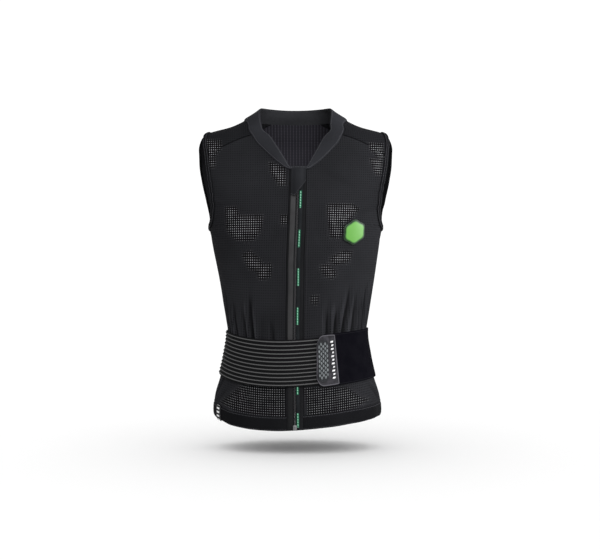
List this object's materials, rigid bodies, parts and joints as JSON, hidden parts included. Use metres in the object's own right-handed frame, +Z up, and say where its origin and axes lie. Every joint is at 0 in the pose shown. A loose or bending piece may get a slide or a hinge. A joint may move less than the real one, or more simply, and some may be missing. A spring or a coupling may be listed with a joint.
{
  "type": "chest and back protector",
  "caption": "Sleeveless zip-front protector vest in black perforated knit, with a stand collar, a back pad and a wide ribbed waist belt closed by a rubber grip tab.",
  "frame": {"origin": "between the shoulders, on the level where the vest rests on them at the foot of the collar", "axes": "+Z up along the wearer's spine, the front of the vest faces -Y, +X is the wearer's left"},
  "size_m": [0.4025, 0.2411, 0.6516],
  "materials": {
    "knit": "perforated jersey knit",
    "trim": "smooth stretch fabric",
    "zip_tape": "woven tape",
    "zip": "satin",
    "ribbed_elastic": "ribbed elastic",
    "loop_pile": "loop pile",
    "rubber": "satin",
    "white_print": "matte",
    "foam": "foam in a knit cover",
    "green_badge": "satin"
  },
  "bodies": {
    "root": {"front_panel_right": "knit", "front_panel_left": "knit", "back_panel": "knit", "yoke_right": "knit", "yoke_left": "knit", "armhole_binding_right": "trim", "armhole_binding_left": "trim", "collar": "trim", "hem_band": "trim", "placket_right": "trim", "placket_left": "trim", "zip_tape_right": "zip_tape", "zip_tape_left": "zip_tape", "zip_chain": "zip", "zip_box": "zip", "zip_slider": "zip", "zip_flap": "trim", "belt_ribbed": "ribbed_elastic", "belt_loop_band": "loop_pile", "belt_back": "loop_pile", "belt_tab": "rubber", "tab_grip": "rubber", "tab_stripe": "white_print", "chest_pad_right": "foam", "chest_pad_left": "foam", "back_pad": "foam", "back_lining": "knit", "badge_base": "rubber", "badge_face": "green_badge", "side_label": "white_print"}
  },
  "joints": []
}
